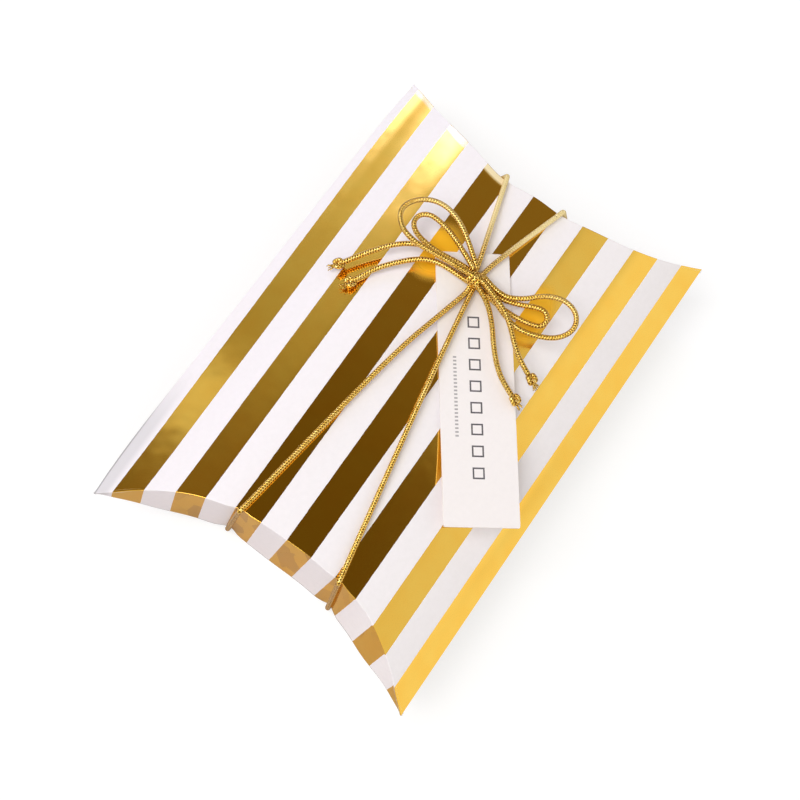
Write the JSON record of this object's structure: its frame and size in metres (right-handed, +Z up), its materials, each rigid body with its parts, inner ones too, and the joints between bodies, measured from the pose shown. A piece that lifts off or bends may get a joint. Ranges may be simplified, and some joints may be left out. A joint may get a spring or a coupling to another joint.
{
  "type": "favor box",
  "caption": "Pillow-shaped folding favor box with curved end flaps, tied lengthwise with two thin cords in a bow, with a hang tag on the knot.",
  "frame": {"origin": "on the surface the box lies on, under the middle of the box", "axes": "+X along the box towards the end nearer the bow, +Y across the box, +Z up"},
  "size_m": [0.125, 0.08, 0.0316],
  "materials": {
    "card": "satin white card with hot-stamped gold foil stripes",
    "tag_card": "matte white card",
    "cord": "thin braided cord with a metallic thread"
  },
  "bodies": {
    "box": {"top_panel": "card", "bottom_panel": "card", "glue_tab": "card", "cord_a_near_strand": "cord", "cord_a_near_end": "cord", "cord_a_underside": "cord", "cord_a_far_end": "cord", "cord_a_far_strand": "cord", "cord_b_near_strand": "cord", "cord_b_near_end": "cord", "cord_b_underside": "cord", "cord_b_far_end": "cord", "cord_b_far_strand": "cord", "left_outer_loop": "cord", "left_inner_loop": "cord", "right_outer_loop": "cord", "right_inner_loop": "cord", "left_upper_tail": "cord", "left_lower_tail": "cord", "right_near_tail": "cord", "right_far_tail": "cord", "left_upper_tail_knot": "cord", "left_lower_tail_knot": "cord", "right_near_tail_knot": "cord", "right_far_tail_knot": "cord", "bow_knot": "cord"},
    "near_outer_flap": {"near_outer_flap": "card"},
    "near_inner_flap": {"near_inner_flap": "card"},
    "far_outer_flap": {"far_outer_flap": "card"},
    "far_inner_flap": {"far_inner_flap": "card"},
    "tag": {"hang_tag": "tag_card"}
  },
  "joints": [
    {"name": "near_end_opens", "type": "hinge", "parent": "box", "child": "near_outer_flap", "pos_m": [-0.05, 0, 0.025], "axis": [0, 1, 0], "range_deg": [0, 90], "deforming": ["cord_a_near_end", "cord_b_near_end"]},
    {"name": "near_inner_fold", "type": "hinge", "parent": "box", "child": "near_inner_flap", "pos_m": [-0.0493, 0, 0], "axis": [0, -1, 0], "range_deg": [0, 45]},
    {"name": "far_end_opens", "type": "hinge", "parent": "box", "child": "far_outer_flap", "pos_m": [0.05, 0, 0.025], "axis": [0, -1, 0], "range_deg": [0, 90], "deforming": ["cord_a_far_end", "cord_b_far_end"]},
    {"name": "far_inner_fold", "type": "hinge", "parent": "box", "child": "far_inner_flap", "pos_m": [0.0493, 0, 0], "axis": [0, 1, 0], "range_deg": [0, 45]},
    {"name": "tag_swings", "type": "hinge", "parent": "box", "child": "tag", "pos_m": [0.0228, 0.0013, 0.0255], "axis": [0, -0.0401, 0.9992], "range_deg": [-10, 25]}
  ],
  "couplings": [
    {"joint": "near_inner_fold", "follows": "near_end_opens", "ratio": 0.5},
    {"joint": "far_inner_fold", "follows": "far_end_opens", "ratio": 0.5}
  ]
}
